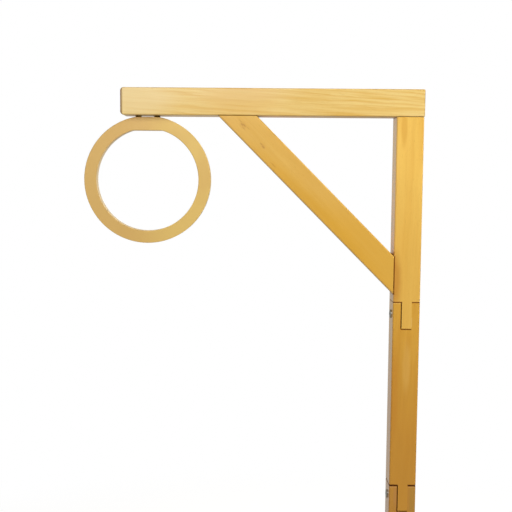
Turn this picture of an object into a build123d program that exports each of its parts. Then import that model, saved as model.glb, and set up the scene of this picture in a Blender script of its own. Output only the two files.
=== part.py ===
from build123d import *
from math import sqrt
import os

# Free-standing ring-tilting stand. A sectional timber post on a cross foot carries a braced arm,
# and a wooden ring hangs under the arm's free end on two pairs of magnets, so a lance can take it.
# Millimetres. The origin is on the floor under the middle of the whole stand's box, +Z is up,
# the arm points to -X and the front faces -Y. The pieces are drawn about the post's axis and
# moved to that origin at the end.

# Timber
section = 45.0            # every bar is planed square to this
edge_round = 2.5          # rounding along a bar's four long edges
end_ease = 0.6            # small chamfer round a sawn end
free_corner = 3.2         # a free end's corners are this much rounder than the long edges
lap_play = 0.2            # a lapped bar is this much narrower than its notch

# Arm and brace
arm_length = 500.0
arm_overhang = 1.0        # past the post's right face
brace_reach = 293.0       # of the brace's long edge along arm and post, from their inner corner

# Post, from the top down
top_length = 306.0        # of the top section between the arm and its shoulders
section_pitch = 312.5     # from one joint's shoulders to the next, and to the foot
middle_count = 2
tongue_thickness = 16.5
tongue_length = 45.0
slot_play = 1.3           # the fork's slot is this much wider than the tongue in it
tongue_room = 0.5         # gap below the tongue's end, in the slot
shoulder_gaps = (0.4, 1.4, 1.0)   # how far the shoulders of each joint stand open

# Foot
foot_length = 600.0
pad_diameter = 32.0
pad_thickness = 5.0
pad_inset = 32.0          # from a foot bar's end to the middle of its pad

# Ring and its magnets
ring_outer = 211.0
ring_inner = 170.0
ring_thickness = 18.0
ring_ease = 1.0           # rounding of the ring's four rims
outer_flat = 103.7        # height of the flat on top, above the ring's middle
inner_flat = 81.5         # height of the flat inside, above the ring's middle
ring_from_post = 411.0    # from the post's left face to the ring's middle
magnet_diameter = 10.0
magnet_thickness = 5.0
magnet_proud = 1.15       # how far each magnet stands out of its wood
magnet_pitch = 31.0

# Furniture bolts with flat heads and hexagon sockets, and their threaded inserts
bolt_diameter = 6.0
bolt_head = 14.0
bolt_head_height = 2.2
bolt_socket = 4.0         # across the socket's flats
socket_depth = 1.8
bolt_recess = 3.0         # depth of the recess that hides a frame bolt's head
recess_play = 1.0         # the recess is this much wider than the head
insert_wall = 2.0
insert_length = 15.0
joint_cover = 3.5         # wood left between a joint's insert and the right face
thread_spare = 1.5        # a joint bolt stops this far short of its insert's end
frame_engagement = 18.0   # how far a frame bolt runs past the face it pulls against
hole_play = 1.0           # a bolt's hole is this much wider than its shank
thread_play = 0.2         # between a shank and its insert's bore
seat_play = 0.1           # between an insert, dowel or magnet and its hole
tip_room = 3.0            # a blind hole runs this far past the bolt's tip
saw_run = 1.0             # a saw cut is drawn this far past the wood

# Bolt that holds the post on the foot
base_bolt_diameter = 8.0
base_head = 13.0
base_head_height = 5.0
base_socket = 6.0
base_socket_depth = 3.5
washer_diameter = 24.0
washer_thickness = 1.6
base_recess = 10.0        # depth of the recess under the foot for washer and head
base_insert_length = 30.0
base_engagement = 33.4    # how far the bolt runs up into the post

# Dowels and pad screws
dowel_diameter = 8.0
dowel_depth = 17.0        # into each of the two pieces it joins
dowel_offset = 13.0       # from the joint's middle
dowel_room = 1.0          # a dowel's hole is this much deeper than the dowel
screw_diameter = 3.5
screw_head = 8.0
screw_head_height = 2.4
screw_reach = 16.0        # how far a pad screw runs into the foot
screw_sink = 1.2          # its head lies this far inside the pad

# Places worked out from the sizes above
half = section / 2
slot_width = tongue_thickness + slot_play
ear = (section - slot_width) / 2
tongue_middle = slot_play / 2                       # the tongue lies against the right-hand ear
foot_top = pad_thickness + section
arm_bottom = foot_top + section_pitch * (middle_count + 1) + top_length
shoulders = [arm_bottom - top_length - section_pitch * i for i in range(middle_count + 1)]
arm_right = half + arm_overhang
arm_left = arm_right - arm_length
ring_x = -half - ring_from_post
ring_z = arm_bottom - 2 * magnet_proud - outer_flat
magnet_xs = [ring_x - magnet_pitch / 2, ring_x + magnet_pitch / 2]
brace_short = brace_reach - section * sqrt(2)       # reach of the brace's short edge
brace_seat = (brace_reach + brace_short) / 2        # from the inner corner to each mitre's middle
insert_diameter = bolt_diameter + 2 * insert_wall
joint_insert_length = ear - joint_cover
joint_engagement = joint_insert_length - thread_spare
base_insert_diameter = base_bolt_diameter + 2 * insert_wall
joint_bolt_length = ear + slot_width + joint_engagement
frame_bolt_length = section - bolt_recess + frame_engagement
base_bolt_length = washer_thickness + section - base_recess + base_engagement
leftmost = min(arm_left, ring_x - ring_outer / 2, -foot_length / 2)
rightmost = max(arm_right, foot_length / 2)
to_origin = Location((-(leftmost + rightmost) / 2, 0, 0))
pad_middle = foot_length / 2 - pad_inset
pad_places = [(-pad_middle, 0), (pad_middle, 0), (0, -pad_middle), (0, pad_middle)]

up = Location((0, 0, 0))
down = Location((0, 0, 0), (180, 0, 0))
leftward = Location((0, 0, 0), (0, -90, 0))         # turns +Z to -X
rightward = Location((0, 0, 0), (0, 90, 0))         # turns +Z to +X


# A plain cylinder that stands on a point and runs along the turned +Z.
def rod(diameter, length, at=(0, 0, 0), turn=up):
    return Location(at) * turn * Cylinder(
        diameter / 2, length, align=(Align.CENTER, Align.CENTER, Align.MIN)
    )


# A square bar along Z with rounded long edges and eased ends.
def bar(bottom, top):
    wood = Pos(0, 0, (bottom + top) / 2) * Box(section, section, top - bottom)
    wood = fillet(wood.edges().filter_by(Axis.Z), edge_round)
    ends = wood.faces().filter_by(Axis.Z)
    return chamfer(ends.edges(), end_ease)


# A square bar along X. The corners of its free ends, -1 for left and 1 for right, are rounder
# than its other edges, and an end that isn't free is rounded as the long edges are.
def lying_bar(left, right, free_ends):
    wood = Pos((left + right) / 2, 0, 0) * Box(right - left, section, section)
    for side in free_ends:
        corners = wood.faces().sort_by(Axis.X)[0 if side < 0 else -1].edges().filter_by(Axis.Y)
        wood = fillet(corners, edge_round + free_corner)
    edges = wood.faces().filter_by(Axis.Y).edges()
    for side in {-1, 1} - set(free_ends):
        edges += wood.faces().sort_by(Axis.X)[0 if side < 0 else -1].edges().filter_by(Axis.Y)
    return fillet(edges, edge_round)


# The bore of a bolt's clearance hole, from a face along the turned +Z.
def bolt_hole(depth, at, turn):
    return rod(bolt_diameter + hole_play, depth, at, turn)


# The hole for a threaded insert, with room behind it for the bolt's tip.
def insert_hole(length, reach, at, turn):
    seat = rod(insert_diameter + seat_play, length, at, turn)
    return seat + rod(bolt_diameter + hole_play, reach + tip_room, at, turn)


def insert(diameter, bore, length, at, turn):
    return rod(diameter, length, at, turn) - rod(bore + thread_play, length, at, turn)


# A bolt whose head's underside is at a point, with its shank along the turned +Z.
def bolt(diameter, length, head, head_height, socket, depth, at, turn):
    shank = rod(diameter, length)
    shank = chamfer(shank.edges().sort_by(Axis.Z)[-1], diameter / 8)
    disc = Pos(0, 0, -head_height) * rod(head, head_height)
    disc = chamfer(disc.edges().sort_by(Axis.Z)[0], head_height / 3)
    key = extrude(RegularPolygon(socket / 2, 6, major_radius=False), depth)
    return Location(at) * turn * (shank + disc - Pos(0, 0, -head_height) * key)


def frame_bolt(at, turn):
    return bolt(bolt_diameter, frame_bolt_length, bolt_head, bolt_head_height,
                bolt_socket, socket_depth, at, turn)


# The recess for a frame bolt's head and the hole right through the bar, from the bar's face.
def frame_bolt_cut(at, turn):
    recess = rod(bolt_head + recess_play, bolt_recess, at, turn)
    return recess + bolt_hole(section, at, turn)


# The two holes of a dowelled joint, running away from the joint's plane.
def dowel_holes(z, turn):
    return [
        rod(dowel_diameter + seat_play, dowel_depth + dowel_room, (0, side * dowel_offset, z), turn)
        for side in (-1, 1)
    ]


def dowels(z):
    pair = []
    for side in (-1, 1):
        pin = rod(dowel_diameter, 2 * dowel_depth, (0, side * dowel_offset, z - dowel_depth))
        pair.append(chamfer(pin.edges().filter_by(GeomType.CIRCLE), dowel_diameter / 10))
    return Compound(children=pair)


# The tongue at a section's lower end: both cheeks are sawn off below the shoulders.
def cut_tongue(wood, shoulder):
    low = shoulder - tongue_length
    left_face = tongue_middle - tongue_thickness / 2
    right_face = tongue_middle + tongue_thickness / 2
    for start, stop in ((-half - saw_run, left_face), (right_face, half + saw_run)):
        cheek = Box(stop - start, section + 2 * saw_run, tongue_length + saw_run)
        wood -= Pos((start + stop) / 2, 0, low + (tongue_length - saw_run) / 2) * cheek
    wood -= bolt_hole(section, (-half, 0, shoulder - tongue_length / 2), rightward)
    return wood


# The fork at a section's upper end: a slot open to front and back, and the joint bolt's holes.
def cut_fork(wood, shoulder):
    depth = tongue_length + tongue_room
    wood -= Pos(0, 0, shoulder - depth / 2) * Box(slot_width, section + 2 * saw_run, depth)
    z = shoulder - tongue_length / 2
    wood -= bolt_hole(half, (-half, 0, z), rightward)
    wood -= insert_hole(joint_insert_length, joint_engagement, (slot_width / 2, 0, z), rightward)
    return wood


def post_top():
    wood = bar(shoulders[0] - tongue_length, arm_bottom)
    wood = cut_tongue(wood, shoulders[0])
    wood -= insert_hole(insert_length, frame_engagement, (0, 0, arm_bottom), down)
    wood -= frame_bolt_cut((half, 0, arm_bottom - brace_seat), leftward)
    return wood - dowel_holes(arm_bottom, down)


def post_middle(number):
    top = shoulders[number - 1]
    wood = bar(shoulders[number] - tongue_length, top - shoulder_gaps[number - 1])
    return cut_fork(cut_tongue(wood, shoulders[number]), top)


def post_base():
    wood = cut_fork(bar(foot_top, shoulders[-1] - shoulder_gaps[-1]), shoulders[-1])
    wood -= rod(base_insert_diameter + seat_play, base_insert_length, (0, 0, foot_top))
    wood -= rod(base_bolt_diameter + hole_play, base_engagement + tip_room, (0, 0, foot_top))
    return wood - dowel_holes(foot_top, up)


def arm():
    wood = Pos(0, 0, arm_bottom + half) * lying_bar(arm_left, arm_right, (-1,))
    arm_top = arm_bottom + section
    for x in (0, -half - brace_seat):
        wood -= frame_bolt_cut((x, 0, arm_top), down)
    for x in magnet_xs:
        wood -= magnet_hole(x, arm_bottom, up)
    return wood - dowel_holes(arm_bottom, up)


# The brace is a bar at 45 degrees, mitred flat against the arm's underside and the post's side.
def brace():
    corner = Location((-half, 0, arm_bottom))
    length = brace_reach * sqrt(2)
    middle = brace_reach / 2 - half / sqrt(2)
    wood = Box(length, section, section)
    wood = fillet(wood.edges().filter_by(Axis.X), edge_round)
    wood = Pos(-middle, 0, -middle) * Rot(0, 45, 0) * wood
    keep = Pos(-brace_reach / 2, 0, -brace_reach / 2) * Box(brace_reach, section, brace_reach)
    wood = wood & keep
    mitres = [wood.faces().sort_by(Axis.X)[-1], wood.faces().sort_by(Axis.Z)[-1]]
    wood = chamfer([edge for face in mitres for edge in face.edges()], end_ease)
    wood = corner * wood
    seat = (-half - brace_seat, 0, arm_bottom)
    wood -= insert_hole(insert_length, frame_engagement, seat, down)
    seat = (-half, 0, arm_bottom - brace_seat)
    return wood - insert_hole(insert_length, frame_engagement, seat, leftward)


def foot_bar():
    reach = foot_length / 2
    return Pos(0, 0, pad_thickness + half) * lying_bar(-reach, reach, (-1, 1))


# The recess and hole for the bolt that comes up through both foot bars.
def base_bolt_cut():
    recess = rod(washer_diameter + recess_play, base_recess, (0, 0, pad_thickness))
    return recess + rod(base_bolt_diameter + hole_play, section, (0, 0, pad_thickness))


def screw_holes(places):
    depth = screw_reach + tip_room
    return [rod(screw_diameter + seat_play, depth, (x, y, pad_thickness)) for x, y in places]


# One half of the lap takes the bar's upper half away, and the other its lower half.
def lap_notch(lower_half):
    z = pad_thickness + half + (-half / 2 if lower_half else half / 2)
    return Pos(0, 0, z) * Box(section + lap_play, section, half)


def foot_bar_lengthwise():
    wood = foot_bar() - lap_notch(False) - base_bolt_cut()
    return wood - screw_holes(pad_places[:2])


def foot_bar_crosswise():
    wood = foot_bar() - lap_notch(True) - screw_holes(pad_places[:2])
    wood = Rot(0, 0, 90) * wood - base_bolt_cut()
    return wood - dowel_holes(foot_top, down)


# A pad's screw hole is sunk into its lower face, so that only rubber meets the floor.
def foot_pad(place):
    pad = rod(pad_diameter, pad_thickness)
    pad = chamfer(pad.edges().sort_by(Axis.Z)[0], pad_thickness / 5)
    hole = rod(screw_diameter + seat_play, pad_thickness)
    head = rod(screw_head + recess_play, screw_sink + screw_head_height)
    return Pos(*place, 0) * (pad - hole - head)


def pad_screw(place):
    head = Cone(screw_head / 2, screw_diameter / 2, screw_head_height,
                align=(Align.CENTER, Align.CENTER, Align.MIN))
    shank = rod(screw_diameter, pad_thickness - screw_sink + screw_reach)
    shank = chamfer(shank.edges().sort_by(Axis.Z)[-1], screw_diameter / 3)
    cross = Box(screw_head / 2, screw_head / 8, screw_head_height)
    drive = cross + Rot(0, 0, 90) * cross
    return Pos(*place, screw_sink) * (head + shank - drive)


# A disc with a flat chord on top, drawn in the XZ plane.
def flat_topped_disc(radius, flat):
    disc = Circle(radius)
    above = Pos(0, flat + radius) * Rectangle(4 * radius, 2 * radius)
    return disc - above


def ring():
    outline = flat_topped_disc(ring_outer / 2, outer_flat) - flat_topped_disc(
        ring_inner / 2, inner_flat
    )
    wood = extrude(Plane.XZ * outline, ring_thickness / 2, both=True)
    rims = wood.faces().filter_by(Axis.Y).edges()
    wood = Pos(ring_x, 0, ring_z) * fillet(rims, ring_ease)
    for x in magnet_xs:
        wood -= magnet_hole(x, ring_z + outer_flat, down)
    return wood


def magnet_hole(x, z, turn):
    return rod(magnet_diameter + seat_play, magnet_thickness - magnet_proud, (x, 0, z), turn)


# A disc magnet that stands proud of the face at height z, above it or below it.
def magnet(x, z, turn):
    disc = Pos(0, 0, -magnet_proud) * rod(magnet_diameter, magnet_thickness)
    disc = chamfer(disc.edges().filter_by(GeomType.CIRCLE), magnet_proud / 6)
    return Location((x, 0, z)) * turn * disc


def joint_bolts():
    return Compound(children=[
        bolt(bolt_diameter, joint_bolt_length, bolt_head, bolt_head_height,
             bolt_socket, socket_depth, (-half, 0, z - tongue_length / 2), rightward)
        for z in shoulders
    ])


def joint_inserts():
    return Compound(children=[
        insert(insert_diameter, bolt_diameter, joint_insert_length,
               (slot_width / 2, 0, z - tongue_length / 2), rightward)
        for z in shoulders
    ])


# The three bolts that hold the arm and the brace, and where each one's insert begins.
def frame_bolts():
    sunk_top = arm_bottom + section - bolt_recess
    return Compound(children=[
        frame_bolt((0, 0, sunk_top), down),
        frame_bolt((-half - brace_seat, 0, sunk_top), down),
        frame_bolt((half - bolt_recess, 0, arm_bottom - brace_seat), leftward),
    ])


def frame_inserts():
    seats = [
        ((0, 0, arm_bottom), down),
        ((-half - brace_seat, 0, arm_bottom), down),
        ((-half, 0, arm_bottom - brace_seat), leftward),
    ]
    return Compound(children=[
        insert(insert_diameter, bolt_diameter, insert_length, at, turn) for at, turn in seats
    ])


def base_bolt():
    under_head = pad_thickness + base_recess - washer_thickness
    return bolt(base_bolt_diameter, base_bolt_length, base_head, base_head_height,
                base_socket, base_socket_depth, (0, 0, under_head), up)


def base_washer():
    z = pad_thickness + base_recess - washer_thickness
    return insert(washer_diameter, base_bolt_diameter + hole_play - thread_play, washer_thickness,
                  (0, 0, z), up)


def base_insert():
    return insert(base_insert_diameter, base_bolt_diameter, base_insert_length,
                  (0, 0, foot_top), up)


pieces = {
    "arm_beam": arm(),
    "diagonal_brace": brace(),
    "post_top": post_top(),
    "post_base": post_base(),
    "foot_bar_lengthwise": foot_bar_lengthwise(),
    "foot_bar_crosswise": foot_bar_crosswise(),
    "foot_pad_screws": Compound(children=[pad_screw(place) for place in pad_places]),
    "ring": ring(),
    "joint_bolts": joint_bolts(),
    "joint_inserts": joint_inserts(),
    "frame_bolts": frame_bolts(),
    "frame_inserts": frame_inserts(),
    "beam_dowels": dowels(arm_bottom),
    "base_bolt": base_bolt(),
    "base_washer": base_washer(),
    "base_insert": base_insert(),
    "base_dowels": dowels(foot_top),
}
for number in range(1, middle_count + 1):
    pieces[f"post_middle_{number}"] = post_middle(number)
for number, place in enumerate(pad_places, 1):
    pieces[f"foot_pad_{number}"] = foot_pad(place)
for side, x in zip(("left", "right"), magnet_xs):
    pieces[f"beam_magnet_{side}"] = magnet(x, arm_bottom, up)
    pieces[f"ring_magnet_{side}"] = magnet(x, ring_z + outer_flat, down)

os.makedirs("parts", exist_ok=True)
for name, piece in pieces.items():
    # Each solid is moved by itself, because a group moved as one is written with nested places.
    piece = Compound(children=[to_origin * solid for solid in piece.solids()])
    export_step(piece, f"parts/{name}.step")
    print(name, [round(value, 2) for value in piece.bounding_box().size])
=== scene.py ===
from functools import partial
from math import pi, radians

import bpy
import numpy as np
from mathutils import Matrix, Vector


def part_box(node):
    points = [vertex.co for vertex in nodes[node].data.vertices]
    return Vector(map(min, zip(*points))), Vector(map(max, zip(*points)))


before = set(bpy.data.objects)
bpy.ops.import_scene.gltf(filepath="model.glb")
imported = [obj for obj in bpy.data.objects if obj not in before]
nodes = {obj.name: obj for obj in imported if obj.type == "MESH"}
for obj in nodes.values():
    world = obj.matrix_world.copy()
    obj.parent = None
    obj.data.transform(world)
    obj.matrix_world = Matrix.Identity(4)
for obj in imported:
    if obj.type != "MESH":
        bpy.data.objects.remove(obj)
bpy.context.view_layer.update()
scene = bpy.context.scene
mm = 0.001
print("frame loaded:", len(nodes), "nodes")


def hexColour(code):
    # sRGB hex to linear light, as the shaders want it
    parts = [int(code[i:i + 2], 16) / 255 for i in (1, 3, 5)]
    linear = [c / 12.92 if c <= 0.04045 else ((c + 0.055) / 1.055) ** 2.4 for c in parts]
    return (*linear, 1.0)


def addNode(tree, kind, inputs=None, out=0, stops=None, **settings):
    # one node with its settings; an input is a value, a hex colour, or a socket to link from
    node = tree.nodes.new("ShaderNode" + kind)
    for key, value in settings.items():
        setattr(node, key, value)
    for key, value in (inputs or {}).items():
        if isinstance(value, bpy.types.NodeSocket):
            tree.links.new(value, node.inputs[key])
        else:
            node.inputs[key].default_value = hexColour(value) if isinstance(value, str) else value
    if stops:
        ramp = node.color_ramp.elements
        while len(ramp) < len(stops):
            ramp.new(0.5)
        for stop, (place, grey) in zip(ramp, stops):
            stop.position = place
            stop.color = (grey, grey, grey, 1.0)
    return node if out is None else node.outputs[out]


def newMaterial(name):
    material = bpy.data.materials.new(name)
    material.use_nodes = True
    material.node_tree.nodes.clear()
    return material, partial(addNode, material.node_tree)


def dress(material, *names):
    # the CAD meshes stay as they are; only the material in their slots changes
    for name in names:
        if not nodes[name].material_slots:
            nodes[name].data.materials.append(material)
        for slot in nodes[name].material_slots:
            slot.material = material


# Turns that lay a bar's own length on local x
grainTurns = {"alongX": (0, 0, 0), "alongY": (0, 0, pi / 2), "upright": (0, -pi / 2, 0),
              "slanting": (0, pi / 4, 0)}


def lacqueredPine(name, centre, half, look):
    # Slow-grown pine, planed and clear lacquered. To the eye: pale early wood with soft, wandering
    # darker lines along the bar, rings on the end grain, and a satin film over all of it.
    material, add = newMaterial(name)
    turn, seed = grainTurns[look["grain"]], look["seed"]
    # millimetres from the bar's own middle, x along the grain
    local = add("Mapping", {"Vector": add("TexCoord", out="Object"), "Location": centre,
                            "Rotation": turn, "Scale": (mm, mm, mm)}, vector_type="TEXTURE")

    # the log's rings: distance from its heart, which lies outside the bar and leans a little
    heart = add("Mapping", {"Vector": local, "Location": (0.0, *look["heart"]),
                            "Rotation": (0.0, radians(look["lean"][0]), radians(look["lean"][1]))},
                vector_type="TEXTURE")
    # soft patterns, each with blots this many mm long, wide and deep, so that none repeats another
    pattern = {}
    for what, base, size, shift, detail, rough in (
            ("broadSway", local, (190, 26, 26), 0.0, 2.0, 0.5),
            ("fineSway", local, (60, 7, 7), 3.1, 2.0, 0.5),
            ("contrast", local, (130, 12, 12), 7.7, 2.0, 0.5),
            ("streaks", heart, look["streakSize"], 15.0, 2.0, 0.5),
            ("bands", heart, look["bandSize"], 5.9, 2.0, 0.5),
            ("ducts", heart, (7, 0.4, 0.4), 21.0, 2.0, 0.5),
            ("fibres", local, (26, 0.6, 0.6), 1.3, 3.0, 0.6),
            ("clouds", local, (110, 40, 40), 9.2, 2.0, 0.5),
            ("endStreaks", local, (4, 0.5, 0.5), 31.0, 2.0, 0.5),
            ("brushing", local, (60, 22, 22), 11.0, 3.0, 0.5)):
        scaled = add("Mapping", {"Vector": base, "Location": (seed + shift, shift * 0.37, seed * 1.7),
                                 "Scale": tuple(1.0 / s for s in size)})
        pattern[what] = add("TexNoise", {"Vector": scaled, "Scale": 1.0, "Detail": detail,
                                         "Roughness": rough})
    across = add("VectorMath", {0: heart, 1: (0.0, 1.0, 1.0)}, operation="MULTIPLY")
    radius = add("VectorMath", {0: across}, out="Value", operation="LENGTH")
    radius = add("Math", {0: pattern["broadSway"], 1: look["sway"], 2: radius},
                 operation="MULTIPLY_ADD")
    radius = add("Math", {0: pattern["fineSway"], 1: look["sway"] * look["fineShare"], 2: radius},
                 operation="MULTIPLY_ADD")
    phase = add("Math", {0: add("Math", {0: radius, 1: look["ringWidth"]}, operation="DIVIDE")},
                operation="FRACT")
    # each ring starts pale, darkens slowly outwards, and ends sharply
    lateWood = add("ValToRGB", {"Fac": phase}, stops=[
        (0.0, 0.15), (0.35, 0.0), (0.62, 0.35), (0.86, 1.0), (0.93, 0.9), (1.0, 0.15)])
    strength = add("MapRange", {"Value": pattern["contrast"], "From Min": 0.35, "From Max": 0.65,
                                "To Min": look["ringStrength"] * 0.2, "To Max": look["ringStrength"]},
                   interpolation_type="SMOOTHSTEP")
    # the lines are fainter towards one end of the bar
    along = add("SeparateXYZ", {0: local})
    clear = add("MapRange", {"Value": along, "From Min": look["faintUntil"], "From Max": look["clearFrom"],
                             "To Min": 0.35, "To Max": 1.0}, interpolation_type="SMOOTHSTEP")
    strength = add("Math", {0: strength, 1: clear}, operation="MULTIPLY")
    share = add("Math", {0: lateWood, 1: strength}, operation="MULTIPLY")
    colour = add("Mix", {"Factor": share, "A": look["earlyWood"], "B": look["lateWood"]},
                 out="Result", data_type="RGBA")
    # irregular streaks between the rings, broad bands where the log took up more resin, and the
    # resin ducts, short dark dashes under half a millimetre wide
    for what, low, high, amount, tint in (
            ("streaks", 0.42, 0.66, look["streakStrength"], look["lateWood"]),
            ("bands", 0.42, 0.72, look["resinStrength"], look["resin"]),
            ("ducts", 0.62, 0.76, 0.5, look["duct"])):
        share = add("MapRange", {"Value": pattern[what], "From Min": low,
                                 "From Max": high, "To Min": 0.0, "To Max": amount},
                    interpolation_type="SMOOTHSTEP")
        share = add("Math", {0: share, 1: clear}, operation="MULTIPLY")
        colour = add("Mix", {"Factor": share, "A": colour, "B": tint}, out="Result", data_type="RGBA")
    # stains and knots of this bar alone, and patches of painted shade, with rims that sway a little
    for place, size, amount, tint in look["marksAndShading"]:
        swayed = add("TexNoise", {"Vector": local, "Scale": 1 / look["markBlot"], "Detail": 2.0},
                     out="Color")
        swayed = add("VectorMath", {0: swayed, 1: (0.5, 0.5, 0.5)}, operation="SUBTRACT")
        swayed = add("VectorMath", {0: swayed, "Scale": min(look["markSway"], size[2] * 0.3)},
                     operation="SCALE")
        swayed = add("VectorMath", {0: local, 1: swayed}, operation="ADD")
        reach = add("Mapping", {"Vector": swayed, "Location": place, "Scale": size},
                    vector_type="TEXTURE")
        reach = add("VectorMath", {0: reach}, out="Value", operation="LENGTH")
        share = add("MapRange", {"Value": reach, "From Min": 0.35, "From Max": 1.0, "To Min": amount,
                                 "To Max": 0.0}, interpolation_type="SMOOTHSTEP")
        colour = add("Mix", {"Factor": share, "A": colour, "B": tint}, out="Result", data_type="RGBA")
    # fibres half a millimetre wide and a few centimetres long, over slow clouds of tone
    tone = add("Math", {0: pattern["fibres"], 1: look["fibre"], 2: 1.0 - look["fibre"] / 2},
               operation="MULTIPLY_ADD")
    cloud = add("Math", {0: pattern["clouds"], 1: 0.5}, operation="SUBTRACT")
    tone = add("Math", {0: cloud, 1: look["cloud"], 2: tone}, operation="MULTIPLY_ADD")
    colour = add("VectorMath", {0: colour, "Scale": tone}, operation="SCALE")
    # painted edge shading: a thin line along each long edge, and a broader one round the free end; a darker
    # tint is painted shade, a paler one a painted highlight
    deep = add("VectorMath", {0: (half[0], half[1], half[1]), 1: add(
        "VectorMath", {0: local}, operation="ABSOLUTE")}, operation="SUBTRACT")
    deep = add("SeparateXYZ", {0: deep}, out=None).outputs
    nextFace = add("Math", {0: deep[1], 1: deep[2]}, operation="MAXIMUM")
    longEdge = add("MapRange", {"Value": nextFace, "From Min": 0.5, "From Max": look["arrisWidth"],
                                "To Min": look["arris"], "To Max": 0.0},
                   interpolation_type="SMOOTHSTEP")
    endEdge = add("MapRange", {"Value": deep[0], "From Min": 1.6, "From Max": 5.0,
                               "To Min": look["endShading"], "To Max": 0.0},
                  interpolation_type="SMOOTHSTEP")
    free = add("Math", {0: along, 1: 0.0}, operation="LESS_THAN")
    endEdge = add("Math", {0: endEdge, 1: free}, operation="MULTIPLY")
    edge = add("Math", {0: longEdge, 1: endEdge}, operation="MAXIMUM")
    colour = add("Mix", {"Factor": edge, "A": colour, "B": look["edgeShading"]}, out="Result",
                 data_type="RGBA")
    # thirsty end grain with the rings showing, wherever the surface turns to face along the bar
    facing = add("VectorRotate", {"Vector": add("NewGeometry", out="Normal"), "Rotation": turn},
                 rotation_type="EULER_XYZ", invert=True)
    facing = add("Math", {0: add("SeparateXYZ", {0: facing})}, operation="ABSOLUTE")
    ends = add("MapRange", {"Value": facing, "From Min": 0.25, "From Max": 0.8, "To Min": 0.0,
                            "To Max": look["endGrain"]}, interpolation_type="SMOOTHSTEP")
    endRings = add("Math", {0: lateWood, 1: 0.55, 2: add("Math", {
        0: pattern["endStreaks"], 1: 0.45}, operation="MULTIPLY")}, operation="MULTIPLY_ADD")
    endColour = add("Mix", {"Factor": endRings, "A": look["endEarly"], "B": look["endLate"]},
                    out="Result", data_type="RGBA")
    colour = add("Mix", {"Factor": ends, "A": colour, "B": endColour}, out="Result",
                 data_type="RGBA")
    # painted shade in the joint lines: a dark tint wherever a neighbouring surface closes the bar in
    openness = add("AmbientOcclusion", {"Distance": look["crevice"] * mm}, out="AO", samples=8)
    shut = add("MapRange", {"Value": openness, "From Min": 0.3, "From Max": 0.72, "To Min": 1.0,
                            "To Max": 0.0}, interpolation_type="SMOOTHSTEP")
    colour = add("Mix", {"Factor": shut, "A": colour, "B": look["creviceShade"]}, out="Result",
                 data_type="RGBA")
    # thin lines where a neighbour butts against the bar, dark ones painted shade in the joint gaps and pale
    # ones painted highlights: a box's middle, its half size, and a tint
    for place, reach, amount, tint in look["seamShading"]:
        off = add("VectorMath", {0: local, 1: place}, operation="SUBTRACT")
        off = add("VectorMath", {0: off}, operation="ABSOLUTE")
        off = add("SeparateXYZ", {0: add("VectorMath", {0: off, 1: reach}, operation="SUBTRACT")},
                  out=None).outputs
        outside = add("Math", {0: off[0], 1: off[1]}, operation="MAXIMUM")
        outside = add("Math", {0: outside, 1: off[2]}, operation="MAXIMUM")
        share = add("MapRange", {"Value": outside, "From Min": -0.3, "From Max": 0.5,
                                 "To Min": amount, "To Max": 0.0}, interpolation_type="SMOOTHSTEP")
        colour = add("Mix", {"Factor": share, "A": colour, "B": tint}, out="Result", data_type="RGBA")
        shut = add("Math", {0: shut, 1: share}, operation="MAXIMUM")
    # the film: satin, a touch uneven where the brush overlapped
    gloss = add("MapRange", {"Value": pattern["brushing"], "From Min": 0.3, "From Max": 0.7,
                             "To Min": look["roughness"] - 0.05, "To Max": look["roughness"] + 0.06})
    gloss = add("Math", {0: gloss, 1: shut}, operation="MAXIMUM")
    coat = add("MapRange", {"Value": shut, "To Min": look["coat"], "To Max": 0.0})
    relief = add("Math", {0: lateWood, 1: -0.25, 2: pattern["fibres"]}, operation="MULTIPLY_ADD")
    bump = add("Bump", {"Height": relief, "Strength": 0.35, "Distance": 0.06 * mm})
    film = add("BsdfPrincipled", {"Base Color": colour, "Roughness": gloss, "Normal": bump, "IOR": 1.5,
                                  "Specular IOR Level": 0.3, "Coat Weight": coat,
                                  "Coat Roughness": look["coatRoughness"], "Coat IOR": 1.5})
    add("OutputMaterial", {"Surface": film}, out=None)
    return material


def middleOf(name):
    low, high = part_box(name)
    return (low + high) / 2, (high - low) / 2


def dressBar(name, look):
    middle, half = middleOf(name)
    if look["grain"] == "slanting":
        middle = middle + half[1] * Vector((1, 0, 1)).normalized()  # its box is centred on its lower edge
    along = {"alongX": 0, "alongY": 1, "upright": 2, "slanting": 0}[look["grain"]]
    halfLength = look["length"] / 2 if "length" in look else half[along] / mm
    halfWidth = half[0 if look["grain"] == "alongY" else 1] / mm
    dress(lacqueredPine("lacquered pine " + name, middle, (halfLength, halfWidth), look), name)


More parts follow.
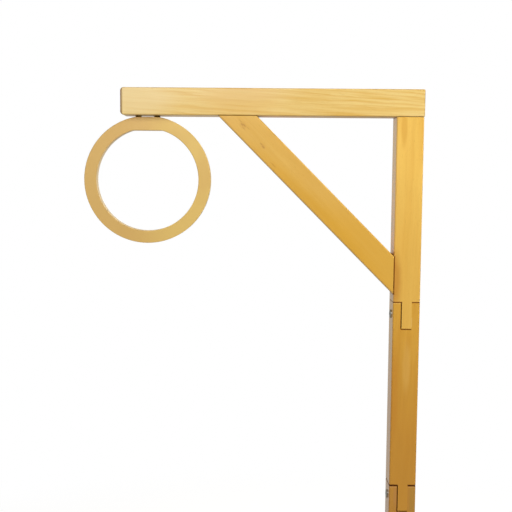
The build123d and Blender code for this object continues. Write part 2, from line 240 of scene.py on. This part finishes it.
# The arm is the palest stick, with the clearest lines. In mm from a bar's middle, a mark is (place, size,
# strength, tint) and fades out; a seam line is (place, half size, strength, tint) with a sharp rim, and is
# matt.
# Dark seam lines are painted shade in the joint gaps, pale ones painted highlights.
armLook = {"grain": "alongX", "seed": 4.0, "heart": (38.0, -62.0), "lean": (3.3, 0.6),
           "ringWidth": 6.2, "sway": 16.0, "fineShare": 0.35, "ringStrength": 0.6,
           "streakSize": (95, 3.0, 3.0), "streakStrength": 0.45, "bandSize": (340, 13, 13),
           "resinStrength": 0.35, "faintUntil": -230.0, "clearFrom": -110.0, "earlyWood": "#ECCD82",
           "lateWood": "#DBAA44", "resin": "#E0B250", "duct": "#B98A40", "edgeShading": "#8E6A38",
           "endEarly": "#BE955A", "endLate": "#8A6230", "creviceShade": "#6E3E00", "arris": 0.3,
           "arrisWidth": 1.6, "endShading": 0.9, "endGrain": 0.85, "fibre": 0.12, "cloud": 0.06,
           "crevice": 3.0, "roughness": 0.36, "coat": 0.35, "coatRoughness": 0.12,
           "markSway": 0.0, "markBlot": 20,
           "marksAndShading": [((-225, -22, 4), (90, 50, 40), 0.35, "#F2DCAC"),
                     ((-50, -22, 4), (80, 50, 40), 0.55, "#E0B25A"),
                     ((-60, -22, 13), (150, 30, 16), 0.12, "#F2DCAC")],
           # painted shade along the joint under the arm, where the brace meets it
           "seamShading": [((-57, 0, -22.5), (32, 30, 0.8), 0.9, "#5E3400")]}
# The upright, brace and foot are warmer sticks from another log
postLook = armLook | {
    "grain": "upright", "seed": 11.0, "heart": (46.0, 18.0), "lean": (1.4, 0.4), "ringWidth": 9.0,
    "sway": 14.0, "ringStrength": 0.2, "streakSize": (140, 4, 4), "streakStrength": 0.18,
    "faintUntil": -900.0, "clearFrom": -800.0, "bandSize": (260, 16, 16), "resinStrength": 0.3,
    "earlyWood": "#F4C65E", "lateWood": "#DE9F38", "resin": "#E0A538", "edgeShading": "#F4CC84",
    "duct": "#B87C28", "endEarly": "#C08C44", "endLate": "#8C5C24", "arris": 0.25, "arrisWidth": 2.2,
    "endShading": 0.0, "coat": 0.8, "endGrain": 0.75, "cloud": 0.1,
    "markSway": 6.0, "marksAndShading": [], "seamShading": []}
barChanges = {
    # its first mark is painted shade, darker towards the lower end where less light falls
    "post_top": {"marksAndShading": [((-130, -22, 0), (230, 90, 90), 0.45, "#E0AA40"),
                           ((-93, -22, 22), (62, 60, 17), 0.62, "#C07814"),
                           ((157, -22, 10), (42, 60, 7), 0.35, "#D08E20")],
                 # painted shade along the brace's contact and in the shoulder gaps
                 "seamShading": [((-86, 0, 22.5), (32, 30, 1.6), 0.9, "#8A4800"),
                           ((-130.5, 0, 15), (0.7, 30, 7.5), 0.9, "#8A4800"),
                           ((-130.5, 0, -15.7), (0.7, 30, 6.8), 0.9, "#8A4800")]},
    # darker wood than post_top, partly its own tone and partly painted shade for the light falling off
    # lower down
    "post_middle_1": {"seed": 23.0, "earlyWood": "#E0A838", "lateWood": "#C98A1C", "resin": "#CC8A18",
                      "edgeShading": "#D09A38", "bandSize": (90, 9, 9), "resinStrength": 0.45,
                      # its first mark is painted shade, darker towards the lower end where less light falls
                      "marksAndShading": [((-190, -22, 0), (330, 90, 90), 0.8, "#CE8F26"),
                                ((70, -22, -2), (60, 60, 9), 0.35, "#EDBE60"),
                                ((20, -22, 18), (110, 60, 9), 0.4, "#CC8418")],
                      # pale lines are painted highlights on the ear top and beside the slot; dark ones are
                      # painted shade in the joint gaps
                      "seamShading": [((176.9, 0, 16), (0.7, 30, 6), 0.5, "#F0C468"),
                                ((178.4, 0, 15.6), (0.5, 30, 6.6), 0.9, "#8A4800"),
                                ((178.4, 0, -15.6), (0.5, 30, 6.6), 0.9, "#8A4800"),
                                ((133.2, 0, 0), (0.6, 30, 8.6), 0.9, "#8A4800"),
                                ((155.5, 0, 8.9), (22, 30, 0.5), 0.9, "#8A4800"),
                                ((-133.2, 0, 15.6), (0.8, 30, 7.2), 0.9, "#6E3600"),
                                ((-133.2, 0, -15.6), (0.8, 30, 7.2), 0.9, "#6E3600"),
                                ((145, -22, -9.3), (8, 3, 0.3), 0.45, "#F6D488")]},
    # darker still, partly its own tone and partly painted shade for the light falling off lower down
    "post_middle_2": {"seed": 31.0, "earlyWood": "#CC9030", "lateWood": "#B47418", "resin": "#B47418",
                      "edgeShading": "#BC8430",
                      "marksAndShading": [((160, -22, 12), (26, 12, 4), 0.45, "#C88C4C"),
                                ((145, -22, -17), (70, 20, 7), 0.45, "#B08A34")],
                      # pale lines are painted highlights on the ear tops; dark ones are painted shade in
                      # the joint gaps
                      "seamShading": [((176.3, 0, 15.6), (0.7, 30, 6), 0.5, "#DCA868"),
                                ((176.3, 0, -15.6), (0.7, 30, 6), 0.5, "#DCA868"),
                                ((178, 0, 15.6), (0.5, 30, 6.6), 0.9, "#6E3600"),
                                ((178, 0, -15.6), (0.5, 30, 6.6), 0.9, "#6E3600"),
                                ((155, 0, 8.9), (22, 30, 0.5), 0.9, "#7A3C00"),
                                ((132.7, 0, 0), (0.7, 30, 8.6), 0.9, "#6E3600")]},
    "post_base": {"seed": 43.0, "earlyWood": "#E2A650", "lateWood": "#C98834", "resin": "#CE8E3A"},
    "foot_bar_lengthwise": {"seed": 57.0, "grain": "alongX", "earlyWood": "#ECBA68",
                            "lateWood": "#D0943E", "resin": "#D89C48", "ringStrength": 0.35},
    "foot_bar_crosswise": {"seed": 67.0, "grain": "alongY", "earlyWood": "#EDBD6C",
                           "lateWood": "#D2963E", "resin": "#DA9E4A", "ringStrength": 0.35},
    "diagonal_brace": {
        "seed": 79.0, "grain": "slanting", "length": 420.0, "crevice": 4.5, "earlyWood": "#E5B758",
        "lateWood": "#D89E36", "resin": "#DCA23C", "edgeShading": "#EEC478", "marksAndShading": [
            ((20, -22, -24), (210, 60, 30), 0.62, "#DBA222"),
            ((150, -22, 0), (170, 60, 60), 0.55, "#E2AA2E"),
            # two small knots, each a brown stain with a few darker flecks, and a short streak of resin
            ((-167, -22, -4.6), (10, 8, 6), 0.2, "#C0843C"),
            ((-120.5, -22, -5.8), (9, 8, 4), 0.2, "#C0843C"),
            ((-175, -22, -3), (5, 8, 1.2), 0.25, "#A8662A"),
            ((-169, -22, -5.2), (4, 8, 1.8), 0.4, "#A8662A"),
            ((-165.6, -22, -3.4), (5, 8, 1.4), 0.4, "#A8662A"),
            ((-162.5, -22, -7.6), (5, 8, 1), 0.35, "#A8662A"),
            ((-158, -22, -2.2), (5, 8, 0.9), 0.3, "#A8662A"),
            ((-124, -22, -5), (5, 8, 1.2), 0.35, "#A8662A"),
            ((-118.2, -22, -6.2), (4, 8, 1.9), 0.45, "#A8662A"),
            ((-86, -22, -15), (9, 8, 1.5), 0.4, "#B87818")]}}

dressBar("arm_beam", armLook)
for name, changes in barChanges.items():
    dressBar(name, postLook | changes)
print("wood dressed")

# Speckles (along, deep, high), clouds and plies are in mm
ringLook = {"pinkSide": "#DEB568", "yellowSide": "#E6C26C", "shade": "#DBB062", "cutEdgeLit": "#F4E2BC",
            "glueLine": "#DCC190", "roughness": 0.42, "speckleSize": (4, 5 / 6, 5 / 6),
            "cloudSize": 60, "ply": 1.5}


def lacqueredBoard(name, look):
    # Birch-faced board, sawn round and clear lacquered. To the eye: an even tan with a fine felted
    # speckle that runs along the face veneer.
    material, add = newMaterial(name)
    local = add("Mapping", {"Vector": add("TexCoord", out="Object"), "Location": middleOf("ring")[0],
                            "Scale": (mm, mm, mm)}, vector_type="TEXTURE")
    scaled = add("Mapping", {"Vector": local, "Scale": tuple(1 / s for s in look["speckleSize"])})
    speckle = add("TexNoise", {"Vector": scaled, "Scale": 1.0, "Detail": 3.0, "Roughness": 0.6})
    cloud = add("TexNoise", {"Vector": local, "Scale": 1 / look["cloudSize"], "Detail": 2.0})
    # the face is pinker and a little darker towards the left, yellower and lighter towards the right,
    # blending softly
    side = add("Math", {0: cloud, 1: 90.0, 2: add("SeparateXYZ", {0: local})}, operation="MULTIPLY_ADD")
    side = add("MapRange", {"Value": side, "From Min": 10.0, "From Max": 90.0},
               interpolation_type="SMOOTHSTEP")
    colour = add("Mix", {"Factor": side, "A": look["pinkSide"], "B": look["yellowSide"]}, out="Result",
                 data_type="RGBA")
    share = add("MapRange", {"Value": cloud, "From Min": 0.45, "From Max": 0.65, "To Max": 0.5})
    colour = add("Mix", {"Factor": share, "A": colour, "B": look["shade"]}, out="Result",
                 data_type="RGBA")
    tone = add("Math", {0: speckle, 1: 0.03, 2: 0.985}, operation="MULTIPLY_ADD")
    colour = add("VectorMath", {0: colour, "Scale": tone}, operation="SCALE")
    # the sawn rim is paler, partly its own colour and partly painted light that lifts the shaded inner rim,
    # and shows the thin plies as darker lines
    rim = add("Math", {0: add("SeparateXYZ", {0: add("NewGeometry", out="Normal")}, out="Y")},
              operation="ABSOLUTE")
    rim = add("MapRange", {"Value": rim, "From Min": 0.3, "From Max": 0.8, "To Min": 0.7, "To Max": 0.0})
    plies = add("Math", {0: add("SeparateXYZ", {0: local}, out="Y"), 1: look["ply"]},
                operation="PINGPONG")
    plies = add("MapRange", {"Value": plies, "From Min": 0.1, "From Max": 0.5})
    cut = add("Mix", {"Factor": plies, "A": look["glueLine"], "B": look["cutEdgeLit"]}, out="Result",
              data_type="RGBA")
    colour = add("Mix", {"Factor": rim, "A": colour, "B": cut}, out="Result", data_type="RGBA")
    gloss = add("MapRange", {"Value": speckle, "From Min": 0.3, "From Max": 0.7,
                             "To Min": look["roughness"] - 0.04, "To Max": look["roughness"] + 0.05})
    bump = add("Bump", {"Height": speckle, "Strength": 0.2, "Distance": 0.04 * mm})
    film = add("BsdfPrincipled", {"Base Color": colour, "Roughness": gloss, "Normal": bump, "IOR": 1.5,
                                  "Coat Weight": 0.15, "Coat Roughness": 0.25})
    add("OutputMaterial", {"Surface": film}, out=None)
    return material


dress(lacqueredBoard("lacquered birch board", ringLook), "ring")


def platedMetal(name, look):
    # metal under a thin plated layer; to the eye, fine grit and slow smears in its shine
    material, add = newMaterial(name)
    local = add("Mapping", {"Vector": add("TexCoord", out="Object"), "Scale": (mm, mm, mm)},
                vector_type="TEXTURE")
    grit = add("TexNoise", {"Vector": local, "Scale": 1 / look["grit"], "Detail": 3.0, "Roughness": 0.6})
    smear = add("TexNoise", {"Vector": local, "Scale": 1 / look["smear"], "Detail": 2.0})
    colour = add("Mix", {"Factor": smear, "A": look["bright"], "B": look["dull"]}, out="Result",
                 data_type="RGBA")
    gloss = add("MapRange", {"Value": smear, "From Min": 0.3, "From Max": 0.7,
                             "To Min": look["roughness"] - 0.06, "To Max": look["roughness"] + 0.08})
    bump = add("Bump", {"Height": grit, "Strength": 0.3, "Distance": 0.02 * mm})
    metal = add("BsdfPrincipled", {"Base Color": colour, "Roughness": gloss, "Normal": bump,
                                   "Metallic": 1.0})
    add("OutputMaterial", {"Surface": metal}, out=None)
    return material


# Grit and smears are this many mm across
magnetLook = {"bright": "#3A2E14", "dull": "#241A0A", "roughness": 0.45, "grit": 0.4, "smear": 5.88}
steelLook = {"bright": "#BCBDB8", "dull": "#94968F", "roughness": 0.4, "grit": 0.4, "smear": 5.88}
insertLook = {"bright": "#D2BE86", "dull": "#B39C62", "roughness": 0.35, "grit": 0.4, "smear": 5.88}
dress(platedMetal("black nickel on magnet", magnetLook), "ring_magnet_left", "ring_magnet_right",
      "beam_magnet_left", "beam_magnet_right")
dress(platedMetal("zinc plated steel", steelLook), "joint_bolts", "frame_bolts", "base_bolt",
      "base_washer", "foot_pad_screws")
dress(platedMetal("yellow zinc plated steel", insertLook), "joint_inserts", "frame_inserts", "base_insert")

dowelLook = {"wood": "#D3A878", "ray": "#B4875A", "roughness": 0.6, "raySize": (0.5, 0.5, 3)}


def bareBeech(name, look):
    # turned beech with no finish; to the eye, short darker rays in an even pinkish tan
    material, add = newMaterial(name)
    local = add("Mapping", {"Vector": add("TexCoord", out="Object"),
                            "Scale": tuple(s * mm for s in look["raySize"])}, vector_type="TEXTURE")
    ray = add("TexNoise", {"Vector": local, "Scale": 1.0, "Detail": 3.0})
    share = add("MapRange", {"Value": ray, "From Min": 0.35, "From Max": 0.7})
    colour = add("Mix", {"Factor": share, "A": look["wood"], "B": look["ray"]}, out="Result",
                 data_type="RGBA")
    bump = add("Bump", {"Height": ray, "Strength": 0.3, "Distance": 0.05 * mm})
    wood = add("BsdfPrincipled", {"Base Color": colour, "Roughness": look["roughness"], "Normal": bump,
                                  "IOR": 1.5})
    add("OutputMaterial", {"Surface": wood}, out=None)
    return material


dress(bareBeech("bare beech", dowelLook), "beam_dowels", "base_dowels")

rubberLook = {"black": "#1A1A1A", "dust": "#2B2A29", "roughness": 0.75, "castGrain": 0.8}


def mattRubber(name, look):
    # moulded black rubber; to the eye, a dull skin with a fine cast grain and a little dust
    material, add = newMaterial(name)
    local = add("Mapping", {"Vector": add("TexCoord", out="Object"), "Scale": (mm, mm, mm)},
                vector_type="TEXTURE")
    grain = add("TexNoise", {"Vector": local, "Scale": 1 / look["castGrain"], "Detail": 3.0})
    colour = add("Mix", {"Factor": grain, "A": look["black"], "B": look["dust"]}, out="Result",
                 data_type="RGBA")
    bump = add("Bump", {"Height": grain, "Strength": 0.5, "Distance": 0.1 * mm})
    rubber = add("BsdfPrincipled", {"Base Color": colour, "Roughness": look["roughness"], "Normal": bump,
                                    "IOR": 1.52})
    add("OutputMaterial", {"Surface": rubber}, out=None)
    return material


dress(mattRubber("matt black rubber", rubberLook), "foot_pad_1", "foot_pad_2", "foot_pad_3", "foot_pad_4")
print("materials made:", len(bpy.data.materials))

cameraLook = {"place": (-0.12059, -1.50176, 1.18885), "pitch": 4.873, "yaw": 0.44, "roll": 0.48,
              "focal": 62.876, "sensor": 36.0, "clip": (0.05, 60)}


def makeCamera(look):
    data = bpy.data.cameras.new("stillCamera")
    data.sensor_width = look["sensor"]
    data.lens = look["focal"]
    data.clip_start, data.clip_end = look["clip"]
    eye = bpy.data.objects.new("stillCamera", data)
    scene.collection.objects.link(eye)
    turn = (Matrix.Rotation(radians(look["yaw"]), 4, "Z")
            @ Matrix.Rotation(pi / 2 - radians(look["pitch"]), 4, "X")
            @ Matrix.Rotation(radians(look["roll"]), 4, "Z"))
    eye.matrix_world = Matrix.Translation(look["place"]) @ turn
    scene.camera = eye


lampLooks = {
    "leftSoftbox": {"place": (-0.4, -1.3, 1.85), "aim": (-0.05, 0, 1.2), "size": (0.8, 0.9),
                    "power": 8.6, "shine": True},
    "rightSoftbox": {"place": (1.1, -1.0, 1.85), "aim": (0, 0, 1.2), "size": (0.8, 1.0),
                     "power": 16.6, "shine": False},
    "backSoftbox": {"place": (0.9, 1.5, 2.1), "aim": (0, 0, 0.8), "size": (2.2, 1.0),
                    "power": 20.0, "shine": False}}


def softbox(name, look):
    data = bpy.data.lights.new(name, "AREA")
    data.shape = "RECTANGLE"
    data.size, data.size_y = look["size"]
    data.energy = look["power"]
    lamp = bpy.data.objects.new(name, data)
    scene.collection.objects.link(lamp)
    lamp.location = look["place"]
    lamp.rotation_mode = "QUATERNION"
    lamp.rotation_quaternion = Vector(np.subtract(look["aim"], look["place"])).to_track_quat("-Z", "Y")
    lamp.visible_camera = False
    lamp.visible_glossy = look["shine"]


makeCamera(cameraLook)
for name, look in lampLooks.items():
    softbox(name, look)
scene.view_settings.view_transform = "Standard"

studioLook = {"belowFront": 0.48, "above": 0.24, "leftBehind": 0.55, "rightBehind": 0.4,
              "warmth": "#FFFAF1"}


def makeStudio(look):
    # a white room: the backdrop reads pure white, and lights the object from behind and below
    world = bpy.data.worlds.new("studio")
    scene.world = world
    world.use_nodes = True
    tree = world.node_tree
    tree.nodes.clear()
    add = partial(addNode, tree)
    way = add("SeparateXYZ", {0: add("TexCoord", out="Generated")}, out=None).outputs
    front = add("MapRange", {"Value": way[2], "From Min": -0.45, "From Max": 0.3,
                             "To Min": look["belowFront"], "To Max": look["above"]},
                interpolation_type="SMOOTHSTEP")
    behind = add("MapRange", {"Value": way[0], "From Min": -0.12, "From Max": 0.12,
                              "To Min": look["leftBehind"], "To Max": look["rightBehind"]},
                 interpolation_type="SMOOTHSTEP")
    glow = add("MapRange", {"Value": way[1], "From Min": -0.1, "From Max": 0.4, "To Min": front,
                            "To Max": behind}, interpolation_type="SMOOTHSTEP")
    seen = add("LightPath", out="Is Camera Ray")
    strength = add("Mix", {"Factor": seen, "A": glow, "B": 1.0}, out="Result")
    shade = add("Mix", {"Factor": seen, "A": look["warmth"], "B": "#FFFFFF"}, out="Result",
                data_type="RGBA")
    back = add("Background", {"Color": shade, "Strength": strength})
    add("OutputWorld", {"Surface": back}, out=None)


floorLook = {"radius": 9.0, "corners": 96, "drop": 0.0005, "paint": "#F4F3F1", "lift": 0.45,
             "fadeFrom": 0.9, "fadeTo": 2.2}


def makeFloor(look):
    # a white disc that lights up away from the object until it can't be told from the backdrop;
    # its corners are cosine and sine of equal turns, times the radius
    ring = np.linspace(0, 2 * pi, look["corners"], endpoint=False)
    rim = np.stack([np.cos(ring) * look["radius"], np.sin(ring) * look["radius"],
                    np.full(look["corners"], -look["drop"])], 1)
    mesh = bpy.data.meshes.new("studioFloor")
    mesh.from_pydata([*map(tuple, rim)], [], [tuple(range(look["corners"]))])
    floor = bpy.data.objects.new("studioFloor", mesh)
    scene.collection.objects.link(floor)
    material, add = newMaterial("matt white floor paint")
    away = add("VectorMath", {0: add("TexCoord", out="Object")}, out="Value", operation="LENGTH")
    far = add("MapRange", {"Value": away, "From Min": look["fadeFrom"], "From Max": look["fadeTo"]},
              interpolation_type="SMOOTHSTEP")
    matt = add("BsdfDiffuse", {"Color": look["paint"]})
    lit = add("Emission", {"Color": (1, 1, 1, 1), "Strength": 1.0})
    lift = add("Emission", {"Color": (1, 1, 1, 1), "Strength": look["lift"]})
    near = add("AddShader", {0: matt, 1: lift})
    both = add("MixShader", {0: far, 1: near, 2: lit})
    add("OutputMaterial", {"Surface": both}, out=None)
    mesh.materials.append(material)
    floor.visible_diffuse = False
    floor.visible_glossy = False


makeStudio(studioLook)
makeFloor(floorLook)
print("studio lit")
